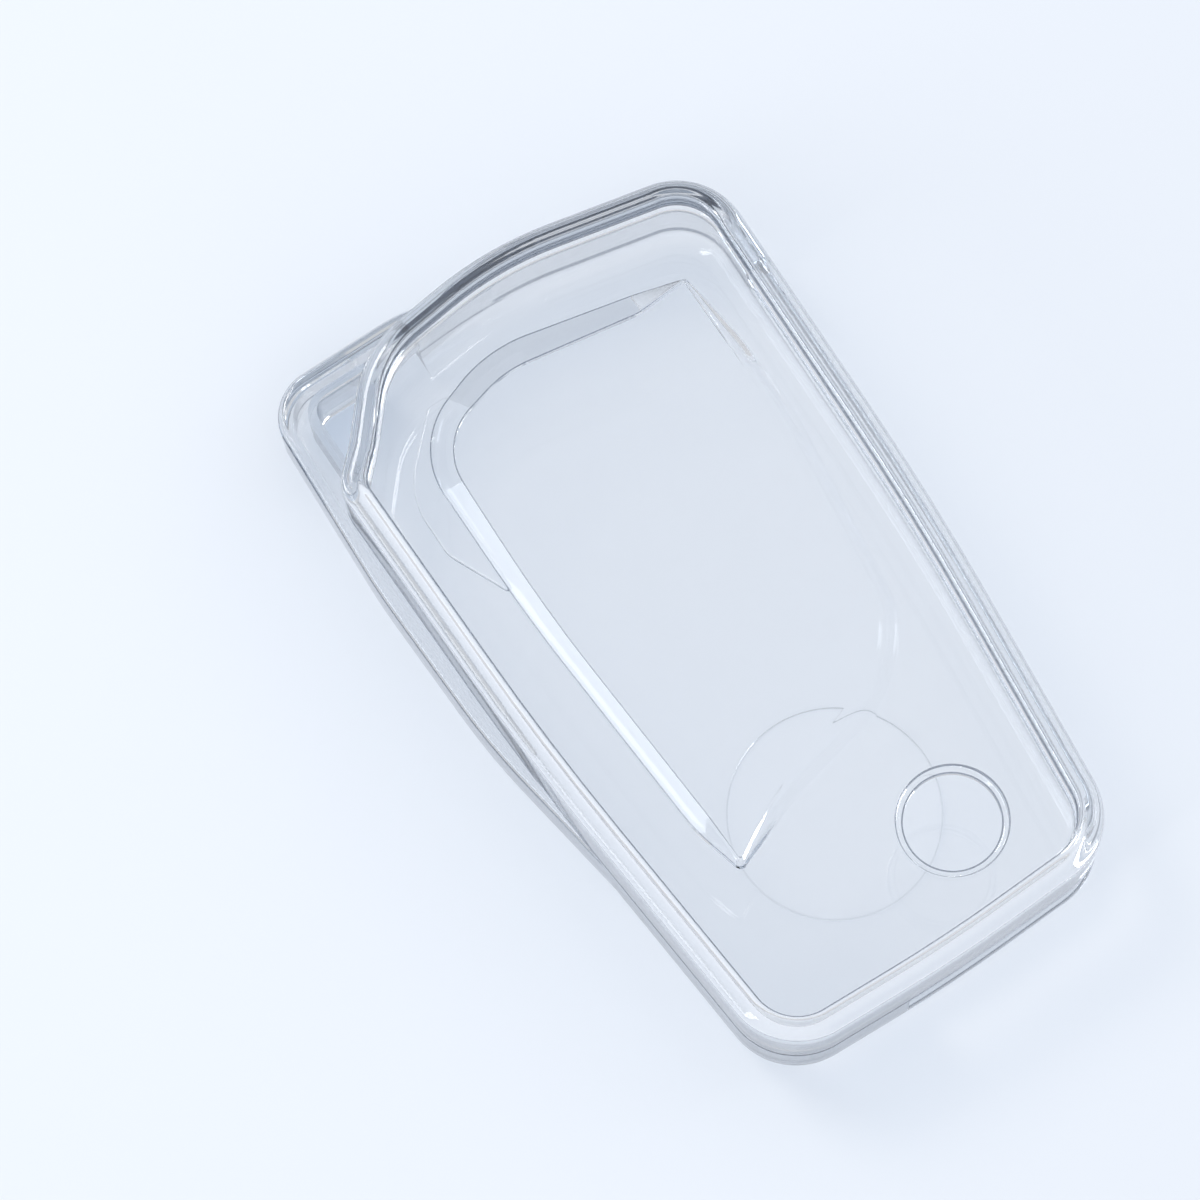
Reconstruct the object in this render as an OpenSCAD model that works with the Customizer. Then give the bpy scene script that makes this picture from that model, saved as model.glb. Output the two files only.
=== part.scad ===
// Clear moulded key fob cover, in two shells that snap together, with a raised press pad.
// X runs across the cover, +Y towards the end with the ring loop, +Z out of the front face.
// The origin is the middle of the rear face, on which the cover lies.

/* [Body] */
// Length of the body, without the ring loop
body_l = 84.8; // [80:0.2:92]
// Width of the body across the ring end
ring_w = 48.8; // [47:0.2:52]
// Width of the body across the near end
near_w = 40.4; // [39:0.2:43]
// Height of the flat front face above the rear face
face_z = 16; // [14:0.25:19]
// Thickness of the moulded walls
wall = 1.5; // [1.3:0.05:1.8]
// Radius of both corners of the near end
near_r = 7.5; // [6:0.25:9]
// Radius of the plain corner of the ring end
ring_r = 7.5; // [6:0.1:9]
// Radius of the wide corner beside the ring loop
loop_corner_r = 14.5; // [12:0.5:18]
// Radius of the slight hollow below the wide corner
hollow_r = 3; // [1.5:0.5:6]
// Radius of the shoulder where the wide corner meets the left side
shoulder_r = 4.5; // [3.6:0.1:6]
// Radius of the bowed long sides
side_bow_r = 300; // [150:10:400]
// Radius of the bowed ring end
end_bow_r = 38; // [30:1:44]
// Distance that the ring end falls away at its plain corner
ring_drop = 4.4; // [3.5:0.1:5.5]
// Distance that the near end bows out
near_bow = 0.8; // [0.4:0.1:1.2]
// Radius of the bowed near end
near_bow_r = 160; // [120:5:200]

/* [Rim] */
// Height of the raised rim above the front face
rim_h = 0.9; // [0.5:0.05:1.4]
// Radius over the outer edge of the rim
rim_r = 1.5; // [1:0.1:2]
// Width of the raised rim, from the side wall to the face
rim_w = 2.7; // [2.4:0.1:3.4]
// Width of the flat crest of the rim
crest_w = 0.3; // [0.1:0.05:0.4]
// Radius inside the front shell, where its wall meets its face
inner_r = 1.6; // [0.8:0.1:2]

/* [Rear shell] */
// Height of the seam between the two shells
seam_z = 9; // [8:0.25:10]
// Radius of the rear edge
rear_r = 3.4; // [2.4:0.1:3.8]
// Radius inside the rear shell, where its wall meets its floor
floor_r = 2; // [1:0.1:2.6]
// Radius of the plain round panel sunk in the rear face
badge_r = 10.8; // [8:0.1:12]
// Depth of the round panel in the rear face
badge_depth = 0.25; // [0.1:0.05:0.5]
// Distance of the round panel from the near end
badge_from_end = 20.9; // [20:0.2:26]

/* [Snap seam] */
// Height of the lip that stands inside the front shell
lip_h = 1.6; // [1:0.1:2.2]
// Thickness of the lip
lip_t = 0.7; // [0.5:0.05:0.8]
// Clearance between the two shells
seam_gap = 0.15; // [0.1:0.01:0.25]

/* [Ring loop] */
// Distance of the top of the ring loop below the seam
loop_below_seam = 0.8; // [0.5:0.1:2]
// Distance that the ring loop stands out beside the body
loop_out = 1.7; // [1.3:0.1:3]
// Distance that the ring loop leans in at its outer corner
loop_lean = 0.9; // [0.5:0.1:1.5]
// Distance that the ring loop stands out past the ring end
loop_over = 2; // [1:0.1:2.5]
// Radius of the outer corner of the ring loop
loop_r = 5.25; // [4:0.25:7]
// Radius where the end of the ring loop turns towards the body
loop_turn_r = 20; // [14:1:24]
// Radius of the rear edge of the ring loop
loop_rear_r = 2.4; // [1.6:0.1:2.8]
// Radius of the top edge of the ring loop
loop_edge_r = 0.8; // [0.4:0.1:1.2]
// Width of the ring loop between the hole and its side
loop_side_w = 4.8; // [4.4:0.1:5.4]
// Width of the ring loop between the hole and its end
loop_end_w = 3.3; // [3:0.1:4]
// Thickness of the top of the ring loop
loop_top_t = 1.4; // [1.2:0.05:1.8]
// Radius of the corner of the ring hole
hole_corner_r = 1.9; // [1:0.1:2.2]
// Thickness of the wall round the ring hole
hole_wall = 1; // [0.7:0.05:1.1]

/* [Side opening] */
// Height of the sill of the side opening
sill_z = 3.8; // [3.5:0.1:4.5]
// Distance of the side opening from the ring end
slot_from_ring = 14.8; // [12:0.2:26]
// Distance that the side opening reaches past the middle of the near end
slot_past_middle = 5.3; // [2:0.1:8]

/* [Round hole] */
// Radius of the round hole
round_hole_r = 4.8; // [4.2:0.05:5.4]
// Radius of the cove round the mouth of the hole
mouth_r = 0.8; // [0.5:0.05:1]
// Distance of the hole from the middle of the cover
round_hole_x = 7.15; // [4:0.05:8]
// Distance of the hole from the near end
round_hole_from_end = 11.6; // [11.2:0.1:13]

/* [Press pad] */
// Height of the press pad above the front face
pad_rise = 1.4; // [0.8:0.1:1.8]
// Distance of the foot of the press pad from each side of the ring end
pad_from_side = 7.4; // [7:0.1:8.4]
// Distance of the foot of the press pad from the ring end
pad_from_ring = 9.2; // [8.8:0.1:11.5]
// Distance of the foot of the press pad from the near end
pad_from_near = 17.4; // [17:0.1:20]
// Width of the slope along the left side of the press pad
ridge_w = 1.8; // [1.5:0.1:2.4]
// Width of the slope at the left corner of the ring end of the press pad
turn_w = 2.3; // [1.8:0.1:2.8]
// Width of the slope along the ring end of the press pad
bevel_w = 3.2; // [2.6:0.1:3.8]
// Width of the slope along the rest of the press pad
slope_w = 1.5; // [1.2:0.1:2]
// Width of the slope at both points of the press pad
point_w = 0.5; // [0.3:0.05:0.8]
// Thickness of the press pad
pad_t = 1.2; // [1:0.05:1.4]
// Clearance round the press pad
pad_gap = 0.15; // [0.1:0.01:0.25]
// Height of the crescent step beside the press pad
step_h = 0.5; // [0.3:0.05:0.8]

/* [Hidden] */

// Overrun of every cut
over = 1;
// Turn between the points of a curve, in degrees
turn_step = 10;
// Turn between the points of a quarter round in a profile, in degrees
quarter_step = 22.5;
// Least radius that a corner keeps when an outline is drawn in
least_r = 0.3;
// Share of an edge that the rounding of one of its corners may take
edge_share = 0.49;
$fn = 72;

half_l = body_l / 2;
ring_half = ring_w / 2;
near_half = near_w / 2;
rim_top = face_z + rim_h;
under_face = face_z - wall;
lip_in = wall - lip_t;
loop_z = seam_z - loop_below_seam;
loop_left = -ring_half - loop_out;
loop_top = half_l + loop_over;

// The long sides bend at these shares of the half length and of the widths' difference
waist_y_share = -0.07;
waist_w_share = 0.84;
waist_y = waist_y_share * half_l;
waist_half = near_half + (ring_half - near_half) * waist_w_share;

// Places along the ring end, as shares of half the ring width and of its drop
apex_x_share = 0.05;
apex_rise_share = 0.12;
corner_x_share = 0.6;
corner_y_share = 0.355;
hollow_x_share = 0.86;
hollow_y_share = 2.045;
shoulder_y_share = 2.784;
wide_corner = [-corner_x_share * ring_half, half_l - corner_y_share * ring_drop];
hollow = [-hollow_x_share * ring_half, half_l - hollow_y_share * ring_drop];
shoulder = [-ring_half, half_l - shoulder_y_share * ring_drop];

// Corners of the body outline, counter-clockwise from the near left, as [x, y, radius]
body_corners = fitted([
    [-near_half, -half_l + near_bow, near_r],
    [0, -half_l, near_bow_r],
    [near_half, -half_l + near_bow, near_r],
    [waist_half, waist_y, side_bow_r],
    [ring_half, half_l - ring_drop, ring_r],
    [apex_x_share * ring_half, half_l + apex_rise_share * ring_drop, end_bow_r],
    [wide_corner.x, wide_corner.y, loop_corner_r],
    [hollow.x, hollow.y, hollow_r],
    [shoulder.x, shoulder.y, shoulder_r],
    [-waist_half, waist_y, side_bow_r]
]);

// The ring loop runs down the side of the body and fades into it, by these shares
fade_y_share = -0.4;
fade_half_share = 0.5;
loop_low_y_share = 0.5;
loop_mid_y_share = 0.05;
loop_mid_out_share = 0.62;
loop_root_share = 0.3;
loop_turn_share = 0.37;
loop_bow_share = 0.25;
loop_root = loop_root_share * ring_half;
fade_y = fade_y_share * half_l;
loop_side = [
    [loop_left + loop_lean, loop_top, loop_r],
    [loop_left, loop_low_y_share * half_l, loop_bow_share * side_bow_r],
    [-ring_half - loop_out * loop_mid_out_share, loop_mid_y_share * half_l, loop_bow_share * side_bow_r],
    [-near_half - (ring_half - near_half) * fade_half_share, fade_y, least_r]
];
loop_corners = fitted(concat([
    [loop_root, fade_y, least_r],
    [loop_root, half_l - wall, least_r],
    [-loop_turn_share * ring_half, loop_top, loop_turn_r]
], loop_side));
channel_corners = fitted(concat([
    [-loop_root, fade_y, least_r],
    [-loop_root, loop_top, least_r]
], loop_side));

// The ring hole has one square corner, and its long side runs along the wide corner of the body
hole_left = loop_left + loop_side_w;
hole_top = loop_top - loop_end_w;
diagonal = (wide_corner - hollow) / norm(wide_corner - hollow);
hole_corners = fitted([
    [hole_left, hole_top, hole_corner_r],
    [hole_left, hollow.y + (hole_left - hollow.x) * diagonal.y / diagonal.x, least_r],
    [hollow.x + (hole_top - hollow.y) * diagonal.x / diagonal.y, hole_top, least_r]
]);

// Corners of the foot of the press pad, as shares of its width and length from its near middle:
// each is [x, y, radius, and the width of the slope there]
point_r_share = 0.02;
bevel_start_share = 0.75;
pad_w = ring_w - 2 * pad_from_side;
pad_l = body_l - pad_from_ring - pad_from_near;
pad_foot_share = [
    [-0.368, 0.024, point_r_share, point_w],
    [-0.12, 0.075, 0.9, slope_w],
    [0.24, 0.123, 0.35, slope_w],
    [0.44, 0.23, 0.35, slope_w],
    [0.532, 0.68, 3, slope_w],
    [0.471, 0.93, point_r_share, point_w],
    [0.309, 0.956, 0.2, bevel_start_share * bevel_w],
    [-0.132, 1.013, 0.44, bevel_w],
    [-0.471, 0.941, 0.32, turn_w],
    [-0.47, 0.577, 5, ridge_w],
    [-0.415, 0.122, 0.6, ridge_w]
];
pad_near_y = half_l - pad_from_ring - pad_l;
pad_foot = fitted([
    for (c = pad_foot_share) [c[0] * pad_w, pad_near_y + c[1] * pad_l, c[2] * pad_w]
]);
pad_slopes = [for (c = pad_foot_share) c[3]];
// What the thickness takes off the inside of the pad at each corner
pad_thin = [for (c = pad_foot_share) pad_t];

// Corners of the crescent step beside the press pad, as shares of the pad's width and length
crescent_share = [
    [-0.47, 0.63, point_r_share],
    [-0.3, 0.7, point_r_share],
    [-0.3, 0.98, point_r_share],
    [-0.37, 0.98, point_r_share],
    [-0.56, 0.87, 0.25],
    [-0.56, 0.745, 0.1]
];
crescent = fitted([
    for (c = crescent_share) [c.x * pad_w, pad_near_y + c.y * pad_l, c[2] * pad_w]
]);

function unit(v) = v / norm(v);
function left_of(v) = [-v.y, v.x];
function at(list, i) = list[(i + len(list)) % len(list)];
function spot(corner) = [corner.x, corner.y];
function edge_way(corners, i) = unit(spot(at(corners, i + 1)) - spot(at(corners, i)));
function turn_at(corners, i) =
    let (u = edge_way(corners, i - 1), v = edge_way(corners, i))
    atan2(u.x * v.y - u.y * v.x, u * v);

// Corners whose radii leave each other room along the edges between them
function fitted(corners) =
    [for (i = [0 : len(corners) - 1])
        let (
            before = norm(spot(at(corners, i)) - spot(at(corners, i - 1))),
            after = norm(spot(at(corners, i + 1)) - spot(at(corners, i))),
            most = edge_share * min(before, after) / tan(abs(turn_at(corners, i)) / 2)
        )
        [corners[i].x, corners[i].y, min(corners[i][2], most)]];

// Steps that a corner's arc takes
function arc_steps(corners, i) = max(2, ceil(abs(turn_at(corners, i)) / turn_step));

// One rounded corner as points along its arc
function corner_arc(corners, i, steps) =
    let (
        u = edge_way(corners, i - 1),
        turn = turn_at(corners, i),
        side = turn < 0 ? -1 : 1,
        r = corners[i][2],
        start = spot(corners[i]) - u * r * tan(abs(turn) / 2),
        arm = -left_of(u) * r * side
    )
    [for (k = [0 : steps])
        let (a = turn * k / steps)
        start - arm + [arm.x * cos(a) - arm.y * sin(a), arm.x * sin(a) + arm.y * cos(a)]];

// A rounded outline, with as many points at each corner as a like outline has
function rounded_like(corners, like) =
    [for (i = [0 : len(corners) - 1]) each corner_arc(corners, i, arc_steps(like, i))];

function rounded(corners) = rounded_like(corners, corners);

// An outline drawn in, with a distance for each corner
function drawn_in_by(corners, distances) =
    [for (i = [0 : len(corners) - 1])
        let (
            n = left_of(edge_way(corners, i - 1)),
            m = left_of(edge_way(corners, i)),
            moved = spot(corners[i]) + (n + m) * distances[i] / (1 + n * m),
            r = corners[i][2] - sign(turn_at(corners, i)) * distances[i]
        )
        [moved.x, moved.y, max(least_r, r)]];

function drawn_in(corners, d) = drawn_in_by(corners, [for (c = corners) d]);

// A closed solid through outlines of equal count, each [points, height]
module skin(rings) {
    count = len(rings[0][0]);
    layers = len(rings);
    points = [for (ring = rings) each [for (p = ring[0]) [p.x, p.y, ring[1]]]];
    sides = [
        for (k = [0 : layers - 2])
            for (i = [0 : count - 1])
                let (a = k * count + i, b = k * count + (i + 1) % count)
                each [[a, a + count, b + count], [a, b + count, b]]
    ];
    first = [for (i = [0 : count - 1]) i];
    last = [for (i = [count - 1 : -1 : 0]) (layers - 1) * count + i];
    polyhedron(points, concat(sides, [first, last]));
}

// A closed solid with the given corners whose edge follows a profile of [inset, height]
module loft(corners, profile) {
    skin([for (p = profile) [rounded_like(drawn_in(corners, p[0]), corners), p[1]]]);
}

// The front shell in one profile, from inside its face down to the seam, then up and over the rim
module front_cup() {
    loft(body_corners, concat(
        [for (a = [90 : -quarter_step : 0]) [
            wall + inner_r * (1 - cos(a)), under_face - inner_r + inner_r * sin(a)
        ]],
        [
            [wall, seam_z + lip_h + 2 * seam_gap],
            [lip_in - seam_gap, seam_z + lip_h + 2 * seam_gap],
            [lip_in - seam_gap, seam_z + seam_gap],
            [0, seam_z + seam_gap]
        ],
        [for (a = [0 : quarter_step : 90]) [
            rim_r * (1 - cos(a)), rim_top - rim_r + rim_r * sin(a)
        ]],
        [for (a = [0 : quarter_step : 90]) [
            rim_r + crest_w + (rim_w - rim_r - crest_w) * sin(a),
            rim_top - rim_h * (1 - cos(a))
        ]]
    ));
}

// The outside of the rear shell, from the rear face up and over the lip
module rear_block() {
    loft(body_corners, concat(
        [for (a = [0 : quarter_step : 90]) [
            rear_r * (1 - sin(a)), rear_r * (1 - cos(a))
        ]],
        [[0, seam_z], [lip_in, seam_z], [lip_in, seam_z + lip_h]]
    ));
}

// The hollow of the rear shell, with its rounded floor
module rear_hollow() {
    loft(body_corners, concat(
        [for (a = [0 : quarter_step : 90]) [
            wall + floor_r * (1 - sin(a)), wall + floor_r * (1 - cos(a))
        ]],
        [[wall, seam_z + lip_h + over]]
    ));
}

module ring_loop() {
    loft(loop_corners, concat(
        [for (a = [0 : quarter_step : 90]) [
            loop_rear_r * (1 - sin(a)), loop_rear_r * (1 - cos(a))
        ]],
        [for (a = [0 : 2 * quarter_step : 90]) [
            loop_edge_r * (1 - cos(a)), loop_z - loop_edge_r + loop_edge_r * sin(a)
        ]]
    ));
}

// Hollow of the ring loop, which opens into the body on both sides of the hole
module loop_channel() {
    translate([0, 0, wall])
        linear_extrude(loop_z - loop_top_t - wall)
            difference() {
                polygon(rounded(drawn_in(channel_corners, wall)));
                polygon(rounded(drawn_in(hole_corners, -hole_wall)));
            }
}

module ring_hole() {
    translate([0, 0, -over])
        linear_extrude(loop_z + 2 * over)
            difference() {
                polygon(rounded(hole_corners));
                polygon(rounded(drawn_in(body_corners, -seam_gap)));
            }
}

// Opening round the near corner and up the side
module side_opening() {
    right = ring_half + over;
    near = -half_l - over;
    inner_x = near_half - near_r - wall;
    inner_y = -half_l + near_r + wall;
    ring_y = half_l - slot_from_ring;
    translate([0, 0, sill_z])
        linear_extrude(seam_z + lip_h + over - sill_z)
            polygon([
                [-slot_past_middle, near],
                [right, near],
                [right, ring_y],
                [inner_x, ring_y],
                [inner_x, inner_y],
                [-slot_past_middle, inner_y]
            ]);
}

module badge_place() {
    translate([0, -half_l + badge_from_end, -over])
        cylinder(r = badge_r, h = over + badge_depth);
}

// The round hole, with a rounded mouth
module round_hole() {
    mouth_z = face_z - mouth_r;
    translate([round_hole_x, -half_l + round_hole_from_end, 0]) {
        translate([0, 0, under_face - over])
            cylinder(r = round_hole_r, h = wall + 2 * over);
        rotate_extrude()
            polygon(concat(
                [[0, mouth_z]],
                [for (a = [0 : quarter_step : 90]) [
                    round_hole_r + mouth_r * sin(a), face_z - mouth_r * cos(a)
                ]],
                [[round_hole_r + mouth_r, face_z + over], [0, face_z + over]]
            ));
    }
}

module rear_shell() {
    color([0.86, 0.91, 0.97, 0.35])
    difference() {
        union() {
            rear_block();
            ring_loop();
        }
        rear_hollow();
        loop_channel();
        ring_hole();
        side_opening();
        badge_place();
    }
}

module front_shell() {
    color([0.86, 0.91, 0.97, 0.35])
    difference() {
        union() {
            front_cup();
            translate([0, 0, face_z - wall / 2])
                linear_extrude(wall / 2 + step_h)
                    polygon(rounded(crescent));
        }
        translate([0, 0, under_face - over])
            linear_extrude(wall + step_h + 2 * over)
                polygon(rounded(drawn_in(pad_foot, -pad_gap)));
        round_hole();
    }
}

module button_pad() {
    pad_top = drawn_in_by(pad_foot, pad_slopes);
    inner_top = drawn_in_by(pad_foot, pad_slopes + pad_thin);
    color([0.82, 0.88, 0.96, 0.4])
        skin([
            [rounded_like(inner_top, pad_foot), face_z + pad_rise - pad_t],
            [rounded_like(drawn_in(pad_foot, pad_t), pad_foot), under_face],
            [rounded(pad_foot), under_face],
            [rounded(pad_foot), face_z],
            [rounded_like(pad_top, pad_foot), face_z + pad_rise]
        ]);
}

rear_shell();
front_shell();
button_pad();
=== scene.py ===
"""Clear moulded key fob cover: its looks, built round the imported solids."""

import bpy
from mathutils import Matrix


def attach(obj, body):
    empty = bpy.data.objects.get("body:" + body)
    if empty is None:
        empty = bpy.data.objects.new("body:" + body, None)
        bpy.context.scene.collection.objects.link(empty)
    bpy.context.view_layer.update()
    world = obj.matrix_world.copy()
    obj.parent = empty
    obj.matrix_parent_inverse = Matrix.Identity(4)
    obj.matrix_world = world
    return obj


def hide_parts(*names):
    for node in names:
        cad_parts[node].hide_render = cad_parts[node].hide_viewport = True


bl_info = {
    "name": "Clear Fob Cover",
    "version": (1, 0, 0),
    "blender": (4, 5, 0),
    "location": "3D View > Sidebar > Fob Cover",
    "description": "Builds a clear moulded key fob cover round its packed solids, with its stage",
    "category": "Object",
}

import math

import bmesh
import bpy
from mathutils import Matrix, Vector

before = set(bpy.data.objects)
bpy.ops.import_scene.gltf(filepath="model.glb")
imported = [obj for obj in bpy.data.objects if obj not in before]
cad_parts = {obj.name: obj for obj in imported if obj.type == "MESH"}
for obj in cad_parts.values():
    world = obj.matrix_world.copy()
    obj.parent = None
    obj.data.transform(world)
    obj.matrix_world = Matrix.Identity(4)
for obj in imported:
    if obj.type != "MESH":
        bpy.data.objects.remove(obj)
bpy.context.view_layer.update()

MM = 0.001
OVER = 1.0 * MM

# How finely round shapes are made
TURN_STEP = math.radians(2.5)
LEAST_ARC_STEPS = 4
QUARTER_STEPS = 8
REAR_EDGE_STEPS = 12
SOFT_EDGE_STEPS = 4
LOOP_EDGE_STEPS = 6
RIM_STEPS = 14
RIM_FOOT_STEPS = 10
PAD_SLOPE_STEPS = 14
CIRCLE_STEPS = 144
LEAST_RADIUS = 0.3 * MM
EDGE_SHARE = 0.49
LEAST_BEND = 1e-9
SAME_POINT = 1e-7
WELD = 2e-6
SLIVER = 1e-6
SHARP_ANGLE = math.radians(30.0)
NORMAL_WEIGHT = 90

# Marks on bands of faces: crisp edges with a painted dark line, joins that the real moulding lacks,
# and slopes with painted shade.
# Each layer gives its marks a strength.
PLAIN, LINE, JOIN, SHADE = range(4)
LAYERS = {"painted_line_mask": {LINE: 1.0, SHADE: 0.25}, "moulded_join": {JOIN: 1.0}}
EDGE_BANDS = 2
COVE_BANDS = 3
RIM_FOOT_BANDS = 4

# Places along the outlines, as shares of the half widths, the half length and the ring end's drop
WAIST = (0.84, -0.07)
APEX = (0.05, 0.12)
WIDE_CORNER = (-0.6, -0.355)
HOLLOW = (-0.86, -2.045)
SHOULDER_DROP = 2.784
LOOP_ROOT = 0.3
LOOP_TURN = 0.37
LOOP_FADE = (0.5, -0.4)
LOOP_LOW = 0.5
LOOP_MIDDLE = (0.62, 0.05)
LOOP_BOW = 0.25
BEVEL_START = 0.75
POINT_R = 0.02

# Corners of the crescent step: x, y and radius, as shares of the pad's width and length
CRESCENT = (
    (-0.47, 0.63, POINT_R),
    (-0.3, 0.7, POINT_R),
    (-0.3, 0.98, POINT_R),
    (-0.37, 0.98, POINT_R),
    (-0.56, 0.87, 0.25),
    (-0.56, 0.745, 0.1),
)

# Scales of the waves and of the handled patches on each piece
REAR_SCALES = (90.0, 45.0)
FRONT_SCALES = (80.0, 40.0)
PAD_SCALES = (70.0, 50.0)

# Clear plastic: the shares of the painted shade that darkens its colour from facing to grazing, and
# how light passes
PLASTIC_IOR = 1.47
ABSORPTION = 22.0
EVEN_BLEND = 0.5
EDGE_STOPS = ((0.42, 0.0), (0.62, 0.14), (0.77, 0.36), (0.86, 0.86), (1.0, 1.0))
SLANT_BLEND = 0.35
SLANT_FROM, SLANT_TO = 0.6, 0.95
UPRIGHT_TO, LEVEL_FROM = 0.1, 0.7
MOST_BOUNCES = 2.5
BUMP_DISTANCE = 0.5 * MM
PATCH_FROM, PATCH_TO = 0.45, 0.75

FLOOR_RADIUS = 2.5
FLOOR_DEPTH = (-0.01, -0.0001)
FLOOR_STEPS = 64
FLOOR_ROUGHNESS = 0.9
FLOOR_GLOSS = 0.2
MOTTLE_SHARE = 0.985
MOTTLE_FROM, MOTTLE_TO = 0.3, 0.7
WHITE = (1.0, 1.0, 1.0)

CAMERA_PLACE = Vector((-69.24, -108.26, 532.0)) * MM
CAMERA_AIM = Vector((-8.64, 7.29, 12.0)) * MM
CAMERA_ROLL = (0.8263, 0.5632)
CAMERA_LENS = 163.5
CAMERA_SENSOR = 36.0
CAMERA_RANGE = (0.05, 20.0)

# Each light: name, place, width, height, power and colour
LIGHTS = (
    ("Key softbox", (-0.25, 0.75, 0.95), 0.4, 0.4, 5.0, (1.0, 0.99, 0.97)),
    ("Strip softbox", (-0.85, -0.1, 0.8), 0.12, 0.9, 2.2, WHITE),
    ("Low softbox", (-0.95, 0.15, 0.38), 0.55, 0.28, 2.0, (0.88, 0.94, 1.0)),
    ("Fill softbox", (0.9, -0.35, 0.7), 0.25, 0.25, 0.6, (0.9, 0.95, 1.0)),
)

# The studio's colour from the horizon up to the ceiling, which is white straight overhead
STUDIO_STOPS = (
    (0.0, (0.74, 0.76, 0.8)),
    (0.9999, (0.82, 0.83, 0.85)),
    (1.0, WHITE),
)


def length(name, millimetres, description):
    """A size in metres that a user can change."""
    return bpy.props.FloatProperty(
        name=name,
        description=description,
        default=millimetres * MM,
        min=0.0,
        precision=5,
        subtype="DISTANCE",
        unit="LENGTH",
    )


def colour(name, value, description):
    """A colour that a user can change."""
    return bpy.props.FloatVectorProperty(
        name=name,
        description=description,
        default=value,
        min=0.0,
        max=1.0,
        size=3,
        subtype="COLOR",
    )


def factor(name, value, description):
    """A strength that a user can change."""
    return bpy.props.FloatProperty(
        name=name,
        description=description,
        default=value,
        min=0.0,
        max=2.0,
        subtype="FACTOR",
    )


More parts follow.
